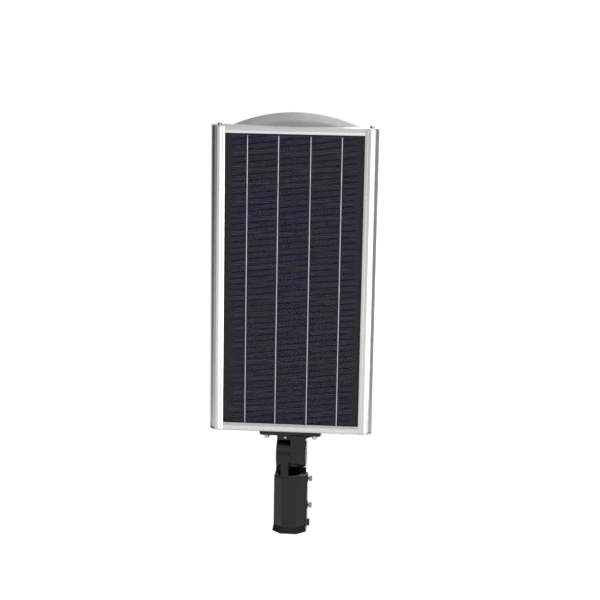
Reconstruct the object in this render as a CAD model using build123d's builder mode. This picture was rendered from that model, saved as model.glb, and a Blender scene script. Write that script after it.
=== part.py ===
from build123d import *
import os

# Solar street lamp: a flat head (solar panel in front, light behind) on a tilting pole sleeve.
# Millimetres. +Z runs up the pole, -Y is the panel's side, +Y is the light's side.
# The origin is the centre of the pole sleeve's mouth.

# ---------------------------------------------------------------- driving dimensions
# Head frame
HEAD_BOTTOM = 220.0
HEAD_TOP = 848.0
HEAD_HALF_WIDTH = 170.0
FRONT_Y = -32.0
RAIL_DEPTH = 52.0
RAIL_INNER = 137.0
CORNER_R = 18.0
PORT_X = 153.0
PORT_DEPTH = 26.0
PORT_R = 2.6
END_PLATE_T = 2.0

# Opening inside the frame's lip, and the slot behind the lip that holds the laminate
OPENING_HALF_WIDTH = 140.0
OPENING_BOTTOM = 236.0
OPENING_TOP = 834.0
LIP_W = 5.6
LIP_RISE = 0.5
LIP_SINK = 0.6
SLOT_FRONT = 1.1
SLOT_BACK = 6.5
SLOT_REACH = 4.6
WEB_T = 2.7
FIT = 0.2

# Solar laminate; depths are measured back from the frame's front face
GLASS_DEPTH = 1.3
GLASS_T = 3.2
RIBBON_T = 0.2
CELL_T = 0.3
BACKSHEET_T = 0.8
LAMINATE_HALF_WIDTH = 143.2
LAMINATE_BOTTOM = 232.2
LAMINATE_TOP = 838.0
CELL_W = 125.0
STRIP_H = 31.25
CELL_CORNER = 8.6
COLUMN_GAP = 2.2
STRIP_PITCH = 33.2
STRIPS = 18
STRIPS_PER_CELL = 4
CELL_CENTRE_Z = 532.0
BUSBAR_SPACING = 62.5
BUSBAR_W = 1.3

# Rear housing with its arched nose
HOUSING_FRONT_Y = 10.0
HOUSING_BACK_Y = 38.0
HOUSING_HALF_WIDTH = 136.6
HOUSING_BOTTOM = HEAD_BOTTOM + END_PLATE_T + FIT
HOUSING_WALL = 2.5
NOSE_R = 324.0
NOSE_PEAK = 874.0
BACK_ROUND = 9.0
NOSE_ROUND = 18.0
LEDGE_REACH = 16.0
LEDGE_T = 2.0
HOUSING_SCREW_X = 127.5
HOUSING_SCREW_Z = [245.0, 375.0, 505.0, 635.0, 765.0]

# Light module
LIGHT_Z = 790.0
LENS_W = 240.0
LENS_H = 106.0
LENS_T = 2.0
LENS_RIM = 9.0
LED_PITCH_X = 22.0
LED_PITCH_Z = 22.0
LED_COLUMNS = 10
LED_ROWS = 4

# Battery and its cover
BATTERY_Z = 490.0
BATTERY_Y = 8.5
CELL_R = 16.2
CELL_L = 70.0
BATTERY_ROWS = 5
BATTERY_PITCH = 34.0
COVER_W = 210.0
COVER_H = 250.0
COVER_T = 2.5
GASKET_T = 0.6

# Controller, sensor and switch
CONTROLLER_X = 30.0
CONTROLLER_Z = 300.0
CONTROLLER_SIZE = (120.0, 23.0, 70.0)
SENSOR_Z = 677.0
SWITCH_X = -80.0
SWITCH_Z = 270.0
SWITCH_R = 9.0
BUTTON_R = 6.5
BUTTON_TRAVEL = 1.5
STATUS_X = -50.0

# Pole bracket
PIVOT_Z = 166.0
EAR_R = 31.0
TONGUE_R = 30.5
FACE_GAP = 0.3
EAR_X = (-29.0, 0.8)
TONGUE_X = (EAR_X[1] + FACE_GAP, 29.5)
WEB_X = (-18.8, -2.8)
PIVOT_BOLT_R = 6.0
RUNNING = 0.06
FLANGE_T = 10.0
FLANGE_HALF_WIDTH = 64.0
FLANGE_BOLT_X = 50.0
FLANGE_BOLT_Y = 12.0
M6_R = 3.0
M6_FLATS = 10.0
SLEEVE_W = 66.0
SLEEVE_CHAMFER = 17.5
SLEEVE_TOP = 122.0
REAR_RIM_RISE = 9.0
RIM_INSET = 1.0
REAR_RIM_Y = 14.0
FOOT_Y = 16.0
FOOT_LENGTH = 20.0
EAR_ROUND = 2.5
RIB_BOTTOM = 8.0
BORE_R = 26.1
BORE_L = 116.0
STOP_R = 21.5
SET_SCREW_Z = [54.0, 112.0]
BOSS_X = 37.5

os.makedirs("parts", exist_ok=True)


def save(piece, name):
    piece.part.label = name
    export_step(piece.part, f"parts/{name}.step")


def facing_front(y):
    """Sketch plane parallel to the panel at depth y; extrusions run from it towards the front."""
    return Plane.XZ.offset(-y)


def behind(depth):
    return FRONT_Y + depth


def hexagon_r(flats):
    return flats / 3 ** 0.5


# ================================================================ head frame
# One side rail's section: lip, fine groove, crowned face, cove, outer bead and rounded back.
rail_start = HEAD_BOTTOM + END_PLATE_T
rail_length = HEAD_TOP - HEAD_BOTTOM - 2 * END_PLATE_T
lip_edge = OPENING_HALF_WIDTH + LIP_W
slot_wall = OPENING_HALF_WIDTH + SLOT_REACH

with BuildPart() as right_rail:
    with BuildSketch(Plane.XY.offset(rail_start)) as rail_section:
        with BuildLine():
            Polyline(
                (HEAD_HALF_WIDTH - CORNER_R, behind(RAIL_DEPTH)),
                (RAIL_INNER, behind(RAIL_DEPTH)),
                (RAIL_INNER, behind(SLOT_BACK)),
                (slot_wall, behind(SLOT_BACK)),
                (slot_wall, behind(SLOT_FRONT)),
                (OPENING_HALF_WIDTH, behind(SLOT_FRONT)),
                (OPENING_HALF_WIDTH, behind(LIP_SINK)),
            )
            ThreePointArc(
                (OPENING_HALF_WIDTH, behind(LIP_SINK)),
                (OPENING_HALF_WIDTH + LIP_W * 0.55, behind(-LIP_RISE * 0.55)),
                (lip_edge, behind(-LIP_RISE)),
            )
            Polyline(
                (lip_edge, behind(-LIP_RISE)),
                (lip_edge + 0.3, behind(0.4)),
                (lip_edge + 0.8, behind(0.0)),
            )
            ThreePointArc((lip_edge + 0.8, behind(0.0)), (151, behind(-1.0)), (158, behind(1.0)))
            ThreePointArc((158, behind(1.0)), (161.0, behind(8.7)), (166.4, behind(14.5)))
            ThreePointArc((166.4, behind(14.5)), (169.1, behind(19.5)), (HEAD_HALF_WIDTH, behind(26)))
            Line((HEAD_HALF_WIDTH, behind(26)), (HEAD_HALF_WIDTH, behind(RAIL_DEPTH - CORNER_R)))
            CenterArc((HEAD_HALF_WIDTH - CORNER_R, behind(RAIL_DEPTH - CORNER_R)), CORNER_R, 0, 90)
        make_face()
        with BuildLine():
            Polyline(
                (152, behind(49.8)),
                (139.2, behind(49.8)),
                (139.2, behind(8.7)),
                (147.2, behind(8.7)),
                (147.2, behind(2.8)),
                (156.4, behind(3.2)),
                (159.0, behind(10.6)),
                (164.4, behind(16.8)),
                (167.8, behind(27)),
                (167.8, behind(34)),
            )
            CenterArc((152, behind(34)), 15.8, 0, 90)
        make_face(mode=Mode.SUBTRACT)
        with Locations((153.2, behind(PORT_DEPTH))):
            Rectangle(30, 2.4)
        with Locations((PORT_X, behind(PORT_DEPTH))):
            Circle(PORT_R + 2.8)
            Circle(PORT_R, mode=Mode.SUBTRACT)
        with Locations((RAIL_INNER - LEDGE_REACH / 2 + 0.5, HOUSING_FRONT_Y - LEDGE_T / 2)):
            Rectangle(LEDGE_REACH + 1, LEDGE_T)
    extrude(amount=rail_length)
    with BuildSketch(facing_front(HOUSING_FRONT_Y + 1)):
        with Locations([(HOUSING_SCREW_X, z) for z in HOUSING_SCREW_Z]):
            Circle(2.05)
    extrude(amount=4, mode=Mode.SUBTRACT)
save(right_rail, "right_rail")

with BuildPart() as left_rail:
    mirror(right_rail.part, about=Plane.YZ)
save(left_rail, "left_rail")


def cross_bar(lip_inner, outer, up):
    """Front bar between the rails; up is +1 for the top bar and -1 for the bottom bar."""
    slot_z = lip_inner + up * SLOT_REACH
    groove_z = lip_inner + up * LIP_W
    shelf_z = lip_inner - up * 2.0
    with BuildPart() as bar:
        with BuildSketch(Plane.YZ):
            with BuildLine():
                ThreePointArc(
                    (behind(LIP_SINK), lip_inner),
                    (behind(-LIP_RISE * 0.55), lip_inner + up * LIP_W * 0.55),
                    (behind(-LIP_RISE), groove_z),
                )
                Polyline(
                    (behind(-LIP_RISE), groove_z),
                    (behind(0.4), groove_z + up * 0.3),
                    (behind(0.0), groove_z + up * 0.8),
                    (behind(0.0), outer),
                    (behind(SLOT_BACK) - FIT, outer),
                    (behind(SLOT_BACK) - FIT, slot_z),
                    (behind(SLOT_FRONT), slot_z),
                    (behind(SLOT_FRONT), lip_inner),
                    (behind(LIP_SINK), lip_inner),
                )
            make_face()
        extrude(amount=OPENING_HALF_WIDTH - FIT, both=True)
        with BuildSketch(Plane.YZ):
            with BuildLine():
                Polyline(
                    (behind(SLOT_BACK) - FIT, outer),
                    (HOUSING_FRONT_Y - LEDGE_T - 0.4, outer),
                    (HOUSING_FRONT_Y - LEDGE_T - 0.4, outer - up * WEB_T),
                    (behind(SLOT_BACK + 2.2), outer - up * WEB_T),
                    (behind(SLOT_BACK + 2.2), shelf_z),
                    (behind(SLOT_BACK), shelf_z),
                    (behind(SLOT_BACK), slot_z + up * 1.0),
                    (behind(SLOT_BACK) - FIT, slot_z + up * 1.0),
                    close=True,
                )
            make_face()
        extrude(amount=RAIL_INNER - FIT, both=True)
    return bar


flange_holes = [(x, y) for x in (-FLANGE_BOLT_X, FLANGE_BOLT_X) for y in (-FLANGE_BOLT_Y, FLANGE_BOLT_Y)]

top_bar = cross_bar(OPENING_TOP, HEAD_TOP - END_PLATE_T, 1)
save(top_bar, "top_bar")

bottom_bar_blank = cross_bar(OPENING_BOTTOM, HEAD_BOTTOM + END_PLATE_T, -1)
with BuildPart() as bottom_bar:
    add(bottom_bar_blank.part)
    with BuildSketch(Plane.XY.offset(HEAD_BOTTOM)):
        with Locations(flange_holes):
            Circle(M6_R + 0.2)
    extrude(amount=8, mode=Mode.SUBTRACT)
save(bottom_bar, "bottom_bar")


def end_plate(z, back_y):
    """Sheet that closes the head's end: it follows the rails' rounded outline."""
    with BuildPart() as plate:
        with BuildSketch(Plane.XY.offset(z)) as outline:
            with BuildLine():
                for side in (1, -1):
                    inner = (side * RAIL_INNER, behind(RAIL_DEPTH))
                    corner = (side * (HEAD_HALF_WIDTH - CORNER_R), behind(RAIL_DEPTH))
                    flank = (side * HEAD_HALF_WIDTH, behind(RAIL_DEPTH - CORNER_R))
                    mid = CORNER_R * 0.5 ** 0.5
                    bend = (
                        side * (HEAD_HALF_WIDTH - CORNER_R + mid),
                        behind(RAIL_DEPTH - CORNER_R + mid),
                    )
                    Line((side * RAIL_INNER, back_y), inner)
                    Line(inner, corner)
                    ThreePointArc(corner, bend, flank)
                    Line(flank, (side * HEAD_HALF_WIDTH, behind(26)))
                    ThreePointArc(
                        (side * HEAD_HALF_WIDTH, behind(26)),
                        (side * 167.0, behind(11.5)),
                        (side * 158.0, behind(1.0)),
                    )
                    ThreePointArc(
                        (side * 158.0, behind(1.0)), (side * 151, behind(-0.6)), (side * 143.0, behind(0.0))
                    )
                Line((-143.0, behind(0.0)), (143.0, behind(0.0)))
                Line((-RAIL_INNER, back_y), (RAIL_INNER, back_y))
            make_face()
            with Locations((-PORT_X, behind(PORT_DEPTH)), (PORT_X, behind(PORT_DEPTH))):
                Circle(PORT_R + 0.4, mode=Mode.SUBTRACT)
        extrude(amount=END_PLATE_T)
    return plate


top_end_plate = end_plate(HEAD_TOP - END_PLATE_T, HOUSING_FRONT_Y - 0.3)
save(top_end_plate, "top_end_plate")

bottom_plate_blank = end_plate(HEAD_BOTTOM, HOUSING_BACK_Y)
with BuildPart() as bottom_end_plate:
    add(bottom_plate_blank.part)
    with BuildSketch(Plane.XY.offset(HEAD_BOTTOM)):
        with Locations(flange_holes):
            Circle(M6_R + 0.2)
    extrude(amount=END_PLATE_T, mode=Mode.SUBTRACT)
save(bottom_end_plate, "bottom_end_plate")

# One pan-head screw into each rail end's port
SCREW_HEAD_R = 4.4
SCREW_HEAD_H = 4.6
SCREW_GRIP = 18.0
with BuildPart() as end_plate_screws:
    for x in (-PORT_X, PORT_X):
        for z, up in ((HEAD_TOP, 1), (HEAD_BOTTOM, -1)):
            with BuildSketch(Plane((x, behind(PORT_DEPTH), z), z_dir=(0, 0, up))):
                Circle(SCREW_HEAD_R)
            extrude(amount=SCREW_HEAD_H)
            with BuildSketch(Plane((x, behind(PORT_DEPTH), z), z_dir=(0, 0, up))):
                Circle(PORT_R - 0.05)
            extrude(amount=-SCREW_GRIP)
    rims = end_plate_screws.edges().filter_by(GeomType.CIRCLE).group_by(Axis.Z)
    fillet(rims[-1] + rims[0], 1.4)
    for x in (-PORT_X, PORT_X):
        for z, up in ((HEAD_TOP + SCREW_HEAD_H, 1), (HEAD_BOTTOM - SCREW_HEAD_H, -1)):
            with BuildSketch(Plane((x, behind(PORT_DEPTH), z), z_dir=(0, 0, up))):
                RegularPolygon(2.3, 6)
            extrude(amount=-2.4, mode=Mode.SUBTRACT)
save(end_plate_screws, "end_plate_screws")

# ================================================================ solar laminate
laminate_mid_z = (LAMINATE_TOP + LAMINATE_BOTTOM) / 2
laminate_height = LAMINATE_TOP - LAMINATE_BOTTOM
ribbon_depth = GLASS_DEPTH + GLASS_T
cell_depth = ribbon_depth + RIBBON_T
backsheet_depth = cell_depth + CELL_T
laminate_back = backsheet_depth + BACKSHEET_T


def laminate_sheet(depth, thickness):
    with BuildPart() as sheet:
        with BuildSketch(facing_front(behind(depth + thickness))):
            with Locations((0, laminate_mid_z)):
                Rectangle(2 * LAMINATE_HALF_WIDTH, laminate_height)
        extrude(amount=thickness)
    return sheet


save(laminate_sheet(GLASS_DEPTH, GLASS_T), "panel_glass")
save(laminate_sheet(backsheet_depth, BACKSHEET_T), "panel_backsheet")

column_x = (CELL_W + COLUMN_GAP) / 2
strip_rows = [CELL_CENTRE_Z + (i - (STRIPS - 1) / 2) * STRIP_PITCH for i in range(STRIPS)]

# Quarter-cut cells: the whole cell's clipped corners stay on each quarter set's outer strips,
# counted from the panel's top end
with BuildPart() as solar_cells:
    with BuildSketch(facing_front(behind(cell_depth + CELL_T))):
        for i, z in enumerate(strip_rows):
            from_top = STRIPS - 1 - i
            clips_up = from_top % STRIPS_PER_CELL == 0 and from_top > 0
            clips_down = from_top % STRIPS_PER_CELL == STRIPS_PER_CELL - 1
            for cx in (-column_x, column_x):
                low = z - STRIP_H / 2
                high = z + STRIP_H / 2
                left = cx - CELL_W / 2
                right = cx + CELL_W / 2
                cut = CELL_CORNER
                outline = []
                outline += [(left, low + cut), (left + cut, low)] if clips_down else [(left, low)]
                outline += [(right - cut, low), (right, low + cut)] if clips_down else [(right, low)]
                outline += [(right, high - cut), (right - cut, high)] if clips_up else [(right, high)]
                outline += [(left + cut, high), (left, high - cut)] if clips_up else [(left, high)]
                with BuildLine():
                    Polyline(*outline, close=True)
                make_face()
    extrude(amount=CELL_T)
save(solar_cells, "solar_cells")

# Tinned copper ribbons on each strip's two busbars, and the cross ribbons behind the end lips
with BuildPart() as busbar_ribbons:
    with BuildSketch(facing_front(behind(ribbon_depth + RIBBON_T))):
        for cx in (-column_x, column_x):
            for side in (-0.5, 0.5):
                with Locations([(cx + side * BUSBAR_SPACING, z) for z in strip_rows]):
                    Rectangle(BUSBAR_W, STRIP_H - 1.0)
    extrude(amount=RIBBON_T)
save(busbar_ribbons, "busbar_ribbons")

# Silicone bead that beds the laminate in the frame's slot
SEAL_T = 0.6
with BuildPart() as panel_seal:
    with BuildSketch(facing_front(behind(SLOT_BACK - FIT))):
        with Locations((0, laminate_mid_z)):
            Rectangle(2 * (LAMINATE_HALF_WIDTH + FIT + SEAL_T), laminate_height + 2 * SEAL_T)
            Rectangle(2 * (OPENING_HALF_WIDTH + 1), laminate_height - 8, mode=Mode.SUBTRACT)
    extrude(amount=SLOT_BACK - FIT - laminate_back)
save(panel_seal, "panel_seal")

JUNCTION_Z = 700.0
with BuildPart() as junction_box:
    with BuildSketch(facing_front(behind(laminate_back + 14))):
        with Locations((0, JUNCTION_Z)):
            RectangleRounded(56, 44, 5)
    extrude(amount=14)
    fillet(junction_box.faces().sort_by(Axis.Y)[-1].edges(), 2)
save(junction_box, "junction_box")

# ================================================================ rear housing
nose_centre_z = NOSE_PEAK - NOSE_R
shoulder_z = nose_centre_z + (NOSE_R ** 2 - HOUSING_HALF_WIDTH ** 2) ** 0.5
lens_pocket_depth = 2.6
led_pocket_depth = 7.0
light_wall_y = 26.0
light_zone_bottom = LIGHT_Z - LENS_H / 2 - 6
pocket_top = shoulder_z - NOSE_ROUND - HOUSING_WALL
cover_opening = (COVER_W - 24, COVER_H - 24)
cover_holes = [
    (sx * (COVER_W / 2 - 6), BATTERY_Z + sz * (COVER_H / 2 - 6))
    for sx, sz in ((-1, -1), (-1, 0), (-1, 1), (0, -1), (0, 1), (1, -1), (1, 0), (1, 1))
]
lens_holes = [
    (sx * (LENS_W / 2 - 4.5), LIGHT_Z + sz * (LENS_H / 2 - 4.5))
    for sx in (-1, -1 / 3, 1 / 3, 1)
    for sz in (-1, 1)
]
housing_holes = [(side * HOUSING_SCREW_X, z) for side in (-1, 1) for z in HOUSING_SCREW_Z]

with BuildPart() as rear_housing:
    with BuildSketch(facing_front(HOUSING_BACK_Y)):
        with BuildLine():
            Polyline(
                (-HOUSING_HALF_WIDTH, shoulder_z),
                (-HOUSING_HALF_WIDTH, HOUSING_BOTTOM),
                (HOUSING_HALF_WIDTH, HOUSING_BOTTOM),
                (HOUSING_HALF_WIDTH, shoulder_z),
            )
            ThreePointArc(
                (HOUSING_HALF_WIDTH, shoulder_z), (0, NOSE_PEAK), (-HOUSING_HALF_WIDTH, shoulder_z)
            )
        make_face()
    extrude(amount=HOUSING_BACK_Y - HOUSING_FRONT_Y)
    back_rim = rear_housing.faces().sort_by(Axis.Y)[-1].edges()
    fillet(back_rim, BACK_ROUND)
    nose_edge = (
        rear_housing.faces().sort_by(Axis.Y)[0].edges().filter_by(GeomType.CIRCLE).sort_by(Axis.Z)[-1]
    )
    fillet(nose_edge, NOSE_ROUND)
    # Main pocket, and the shallower one in front of the light's heat spreader
    with BuildSketch(facing_front(HOUSING_BACK_Y - HOUSING_WALL)):
        with Locations((0, (HOUSING_BOTTOM + HOUSING_WALL + light_zone_bottom) / 2)):
            Rectangle(
                2 * (HOUSING_HALF_WIDTH - HOUSING_WALL), light_zone_bottom - HOUSING_BOTTOM - HOUSING_WALL
            )
        with Locations(*[Location((x, z)) for x, z in housing_holes if z < light_zone_bottom]):
            Circle(5.5, mode=Mode.SUBTRACT)
            Rectangle(14, 2, mode=Mode.SUBTRACT)
    extrude(amount=HOUSING_BACK_Y - HOUSING_WALL - HOUSING_FRONT_Y, mode=Mode.SUBTRACT)
    with BuildSketch(facing_front(light_wall_y)):
        with Locations((0, (light_zone_bottom + pocket_top) / 2)):
            Rectangle(2 * (HOUSING_HALF_WIDTH - HOUSING_WALL), pocket_top - light_zone_bottom + 0.2)
        with Locations(*[Location((x, z)) for x, z in housing_holes if z > light_zone_bottom]):
            Circle(5.5, mode=Mode.SUBTRACT)
            Rectangle(14, 2, mode=Mode.SUBTRACT)
    extrude(amount=light_wall_y - HOUSING_FRONT_Y, mode=Mode.SUBTRACT)
    # Lens seat, LED recess, battery opening, sensor, switch and status holes
    with BuildSketch(facing_front(HOUSING_BACK_Y)):
        with Locations((0, LIGHT_Z)):
            RectangleRounded(LENS_W + 1, LENS_H + 1, 6)
    extrude(amount=lens_pocket_depth, mode=Mode.SUBTRACT)
    with BuildSketch(facing_front(HOUSING_BACK_Y)):
        with Locations((0, LIGHT_Z)):
            Rectangle(LENS_W - 2 * LENS_RIM, LENS_H - 2 * LENS_RIM)
    extrude(amount=led_pocket_depth, mode=Mode.SUBTRACT)
    with BuildSketch(facing_front(HOUSING_BACK_Y)):
        with Locations((0, BATTERY_Z)):
            RectangleRounded(cover_opening[0], cover_opening[1], 5)
        with Locations((0, SENSOR_Z)):
            Circle(14.2)
        with Locations((SWITCH_X, SWITCH_Z)):
            Circle(SWITCH_R + 0.1)
        with Locations((STATUS_X, SWITCH_Z)):
            Circle(2.6)
        with Locations(cover_holes):
            Circle(2.0)
        with Locations(lens_holes):
            Circle(1.55)
    extrude(amount=HOUSING_WALL + 3.5, mode=Mode.SUBTRACT)
    with BuildSketch(facing_front(HOUSING_BACK_Y)):
        with Locations(housing_holes):
            Circle(2.2)
    extrude(amount=HOUSING_BACK_Y - HOUSING_FRONT_Y, mode=Mode.SUBTRACT)
    with BuildSketch(facing_front(HOUSING_BACK_Y)):
        with Locations(housing_holes):
            Circle(4.3)
    extrude(amount=4, mode=Mode.SUBTRACT)
    with BuildSketch(Plane.XY.offset(HOUSING_BOTTOM)):
        with Locations(flange_holes):
            Circle(M6_R + 0.2)
    extrude(amount=HOUSING_WALL + 0.5, mode=Mode.SUBTRACT)
save(rear_housing, "rear_housing")


def rear_screws(places, seat_y, head_r, head_h, shank_r, length, socket_r):
    """Screws driven from the light's side: heads stand on seat_y, shanks run towards the panel."""
    with BuildPart() as screws:
        with BuildSketch(facing_front(seat_y + head_h)):
            with Locations(places):
                Circle(head_r)
        extrude(amount=head_h)
        chamfer(screws.faces().group_by(Axis.Y)[-1].edges(), head_h * 0.25)
        with BuildSketch(facing_front(seat_y)):
            with Locations(places):
                Circle(shank_r)
        extrude(amount=length)
        with BuildSketch(facing_front(seat_y + head_h)):
            with Locations(places):
                RegularPolygon(socket_r, 6)
        extrude(amount=head_h * 0.5, mode=Mode.SUBTRACT)
    return screws


save(rear_screws(housing_holes, HOUSING_BACK_Y - 4, 4.0, 3.2, 2.0, 28, 1.9), "housing_screws")

# ================================================================ light module
led_board_back = HOUSING_BACK_Y - led_pocket_depth
led_places = [
    ((i - (LED_COLUMNS - 1) / 2) * LED_PITCH_X, LIGHT_Z + (j - (LED_ROWS - 1) / 2) * LED_PITCH_Z)
    for i in range(LED_COLUMNS)
    for j in range(LED_ROWS)
]
led_board_w = LENS_W - 2 * LENS_RIM - 1
led_board_h = LENS_H - 2 * LENS_RIM - 1
LED_BOARD_T = 1.6
CHIP = (5.0, 1.4, 5.0)
lens_y = HOUSING_BACK_Y - lens_pocket_depth + GASKET_T

with BuildPart() as led_board:
    with BuildSketch(facing_front(led_board_back + LED_BOARD_T)):
        with Locations((0, LIGHT_Z)):
            Rectangle(led_board_w, led_board_h)
    extrude(amount=LED_BOARD_T)
save(led_board, "led_board")

with BuildPart() as led_chips:
    with BuildSketch(facing_front(led_board_back + LED_BOARD_T + CHIP[1])):
        with Locations(led_places):
            Rectangle(CHIP[0], CHIP[2])
    extrude(amount=CHIP[1])
save(led_chips, "led_chips")

with BuildPart() as lens_gasket:
    with BuildSketch(facing_front(lens_y)):
        with Locations((0, LIGHT_Z)):
            RectangleRounded(LENS_W, LENS_H, 5.5)
            Rectangle(LENS_W - 2 * LENS_RIM, LENS_H - 2 * LENS_RIM, mode=Mode.SUBTRACT)
        with Locations(lens_holes):
            Circle(1.6, mode=Mode.SUBTRACT)
    extrude(amount=GASKET_T)
save(lens_gasket, "lens_gasket")

# One clear plate carries a batwing lens over every chip
LENS_DOME_R = 8.6
LENS_DOME_H = 3.6
lens_sphere_r = (LENS_DOME_R ** 2 + LENS_DOME_H ** 2) / (2 * LENS_DOME_H)
with BuildPart() as lens_dome:
    with BuildSketch(Plane.XY):
        with BuildLine():
            Line((0, LENS_DOME_H), (0, -0.5))
            Line((0, -0.5), (LENS_DOME_R, -0.5))
            Line((LENS_DOME_R, -0.5), (LENS_DOME_R, 0))
            RadiusArc((LENS_DOME_R, 0), (0, LENS_DOME_H), -lens_sphere_r)
        make_face()
    revolve(axis=Axis.Y)
with BuildPart() as lens_plate:
    with BuildSketch(facing_front(lens_y + LENS_T)):
        with Locations((0, LIGHT_Z)):
            RectangleRounded(LENS_W, LENS_H, 5.5)
        with Locations(lens_holes):
            Circle(1.6, mode=Mode.SUBTRACT)
    extrude(amount=LENS_T)
    with Locations([(x, lens_y + LENS_T, z) for x, z in led_places]):
        add(lens_dome.part)
save(lens_plate, "lens_plate")
save(rear_screws(lens_holes, lens_y + LENS_T, 2.8, 1.8, 1.5, 5.5, 1.3), "lens_screws")

# ================================================================ battery and its cover
battery_places = [
    (side * (CELL_L / 2 + 1.6), BATTERY_Y, BATTERY_Z + (row - (BATTERY_ROWS - 1) / 2) * BATTERY_PITCH)
    for side in (-1, 1)
    for row in range(BATTERY_ROWS)
]
with BuildPart() as battery_cells:
    with Locations([Location(p, (0, 90, 0)) for p in battery_places]):
        Cylinder(CELL_R, CELL_L)
    chamfer(battery_cells.edges().filter_by(GeomType.CIRCLE), 0.8)
save(battery_cells, "battery_cells")

holder_height = BATTERY_ROWS * BATTERY_PITCH + 8
with BuildPart() as battery_holder:
    with BuildSketch(facing_front(BATTERY_Y - CELL_R - 0.3)):
        with Locations((0, BATTERY_Z)):
            Rectangle(2 * CELL_L + 8, holder_height)
    extrude(amount=2)
    with BuildSketch(facing_front(BATTERY_Y + 8)):
        with Locations((0, BATTERY_Z)):
            Rectangle(2.4, holder_height)
        with Locations((-CELL_L - 2.9, BATTERY_Z), (CELL_L + 2.9, BATTERY_Z)):
            Rectangle(2, holder_height)
    extrude(amount=CELL_R + 8.5)
save(battery_holder, "battery_holder")

with BuildPart() as protection_board:
    with Locations((0, 14, BATTERY_Z + holder_height / 2 + 16)):
        Box(120, 1.6, 24)
    for x in (-44, -28, -12, 12, 28, 44):
        with Locations((x, 12.2, BATTERY_Z + holder_height / 2 + 16)):
            Box(10, 2.4, 12)
save(protection_board, "protection_board")

with BuildPart() as cover_gasket:
    with BuildSketch(facing_front(HOUSING_BACK_Y + GASKET_T)):
        with Locations((0, BATTERY_Z)):
            RectangleRounded(COVER_W - 1, COVER_H - 1, 7.5)
            RectangleRounded(cover_opening[0], cover_opening[1], 5, mode=Mode.SUBTRACT)
        with Locations(cover_holes):
            Circle(2.05, mode=Mode.SUBTRACT)
    extrude(amount=GASKET_T)
save(cover_gasket, "cover_gasket")

# Cover with pressed stiffening ribs
with BuildPart() as battery_cover:
    with BuildSketch(facing_front(HOUSING_BACK_Y + GASKET_T + COVER_T)):
        with Locations((0, BATTERY_Z)):
            RectangleRounded(COVER_W, COVER_H, 8)
        with Locations(cover_holes):
            Circle(2.05, mode=Mode.SUBTRACT)
    extrude(amount=COVER_T)
    with BuildSketch(facing_front(HOUSING_BACK_Y + GASKET_T + COVER_T + 1.2)):
        with Locations([(0, BATTERY_Z + offset) for offset in (-80, -48, -16, 16, 48, 80)]):
            SlotOverall(150, 9)
    extrude(amount=1.3)
save(battery_cover, "battery_cover")
save(
    rear_screws(cover_holes, HOUSING_BACK_Y + GASKET_T + COVER_T, 3.8, 2.4, 1.95, 8, 1.7),
    "battery_cover_screws",
)

# ================================================================ charge controller
case_back_y = HOUSING_BACK_Y - HOUSING_WALL - 0.1
case_front_y = case_back_y - CONTROLLER_SIZE[1]
with BuildPart() as controller_case:
    with BuildSketch(facing_front(case_back_y)):
        with Locations((CONTROLLER_X, CONTROLLER_Z)):
            RectangleRounded(CONTROLLER_SIZE[0], CONTROLLER_SIZE[2], 4)
    extrude(amount=CONTROLLER_SIZE[1])
    with BuildSketch(facing_front(case_back_y - 2)):
        with Locations((CONTROLLER_X, CONTROLLER_Z)):
            RectangleRounded(CONTROLLER_SIZE[0] - 4, CONTROLLER_SIZE[2] - 4, 2)
    extrude(amount=CONTROLLER_SIZE[1], mode=Mode.SUBTRACT)
save(controller_case, "controller_case")

with BuildPart() as controller_lid:
    with BuildSketch(facing_front(case_front_y - 0.05)):
        with Locations((CONTROLLER_X, CONTROLLER_Z)):
            RectangleRounded(CONTROLLER_SIZE[0], CONTROLLER_SIZE[2], 4)
    extrude(amount=1.6)
save(controller_lid, "controller_lid")

with BuildPart() as controller_board:
    with Locations((CONTROLLER_X, case_back_y - 8, CONTROLLER_Z)):
        Box(108, 1.6, 58)
    for offset in (-40, -20, 0, 20, 40):
        with Locations((CONTROLLER_X + offset, case_back_y - 12.5, CONTROLLER_Z + 14)):
            Cylinder(5, 7.6, rotation=(90, 0, 0))
    with Locations((CONTROLLER_X, case_back_y - 11, CONTROLLER_Z - 12)):
        Box(60, 4.6, 16)
save(controller_board, "controller_board")


def lead(name, radius, points, bend):
    """Insulated lead inside the head: straight runs joined by tangent arcs."""
    with BuildPart() as wire:
        with BuildLine() as route:
            FilletPolyline(*points, radius=bend)
        start = route.line @ 0
        heading = route.line % 0
        with BuildSketch(Plane(origin=start, z_dir=heading)):
            Circle(radius)
        sweep(path=route.line)
    save(wire, name)


lead_x = 96.0
case_top = CONTROLLER_Z + CONTROLLER_SIZE[2] / 2
lead(
    "panel_lead", 2.2,
    [(28.5, -18, JUNCTION_Z), (lead_x, -18, JUNCTION_Z - 12), (lead_x, -16, 560), (lead_x, 6, 420),
     (60, 24, 380), (60, 24, case_top + 0.3)],
    12,
)
lead(
    "led_lead", 1.8,
    [(-lead_x, 22, 765), (-lead_x, 10, 740), (-lead_x, 4, 600), (-lead_x, 8, 402),
     (-10, 24, 366), (-10, 24, case_top + 0.3)],
    8,
)
lead(
    "battery_lead", 2.4,
    [(20, 10, BATTERY_Z - holder_height / 2 - 0.3), (20, 12, 370), (20, 24, 352),
     (20, 24, case_top + 0.3)],
    5,
)

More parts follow.
